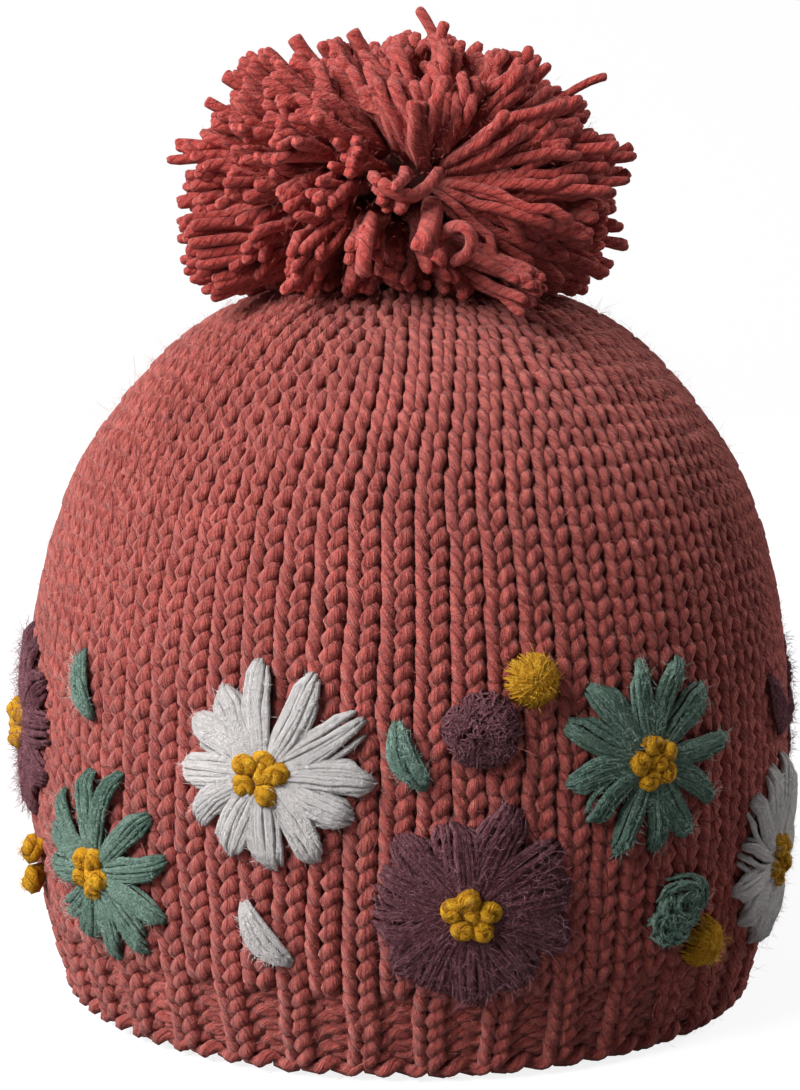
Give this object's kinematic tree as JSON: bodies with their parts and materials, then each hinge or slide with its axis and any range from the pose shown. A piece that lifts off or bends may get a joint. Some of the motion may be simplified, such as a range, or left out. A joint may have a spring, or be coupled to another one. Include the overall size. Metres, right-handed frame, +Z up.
{
  "type": "knitted beanie",
  "caption": "Chunky knitted beanie with a rib hem, a full yarn pompom and a garland of embroidered daisies, dots and leaves; hollow and open below for a head.",
  "frame": {"origin": "middle of the hem, on the surface that the hat rests on", "axes": "+Z up through the closed top and the pompom; -Y to the front, where the white daisy and the plum daisy are; +X to the right seen from the front"},
  "size_m": [0.1979, 0.196, 0.2322],
  "materials": {
    "rose_knit": "chunky two-ply wool knit, matt with a soft halo",
    "rose_pompom": "cut two-ply wool yarn, matt",
    "white_yarn": "brushed wool embroidery yarn, matt",
    "plum_yarn": "brushed wool embroidery yarn, matt",
    "green_yarn": "brushed wool embroidery yarn, matt",
    "mustard_yarn": "knotted wool embroidery yarn, matt"
  },
  "bodies": {
    "root": {"rib_band": "rose_knit", "crown": "rose_knit", "pompom": "rose_pompom", "daisy_white_front_petals": "white_yarn", "daisy_white_front_centre": "mustard_yarn", "daisy_plum_front_petals": "plum_yarn", "daisy_plum_front_centre": "mustard_yarn", "daisy_green_right_petals": "green_yarn", "daisy_green_right_centre": "mustard_yarn", "daisy_white_right_petals": "white_yarn", "daisy_white_right_centre": "mustard_yarn", "daisy_plum_right_petals": "plum_yarn", "daisy_plum_right_centre": "mustard_yarn", "daisy_green_back_petals": "green_yarn", "daisy_green_back_centre": "mustard_yarn", "daisy_white_back_petals": "white_yarn", "daisy_white_back_centre": "mustard_yarn", "daisy_plum_back_petals": "plum_yarn", "daisy_plum_back_centre": "mustard_yarn", "daisy_green_back_left_petals": "green_yarn", "daisy_green_back_left_centre": "mustard_yarn", "daisy_white_left_petals": "white_yarn", "daisy_white_left_centre": "mustard_yarn", "daisy_plum_left_petals": "plum_yarn", "daisy_plum_left_centre": "mustard_yarn", "daisy_green_left_petals": "green_yarn", "daisy_green_left_centre": "mustard_yarn", "plum_dot": "plum_yarn", "mustard_dot": "mustard_yarn", "green_rosette": "green_yarn", "mustard_dot_right": "mustard_yarn", "mustard_knots_left": "mustard_yarn", "mustard_dot_back": "mustard_yarn", "plum_dot_back": "plum_yarn", "green_rosette_back": "green_yarn", "leaf_green_front": "green_yarn", "leaf_white_front": "white_yarn", "leaf_green_left": "green_yarn", "leaf_plum_right": "plum_yarn", "leaf_green_back": "green_yarn", "leaf_white_back": "white_yarn", "leaf_green_back_left": "green_yarn"}
  },
  "joints": []
}
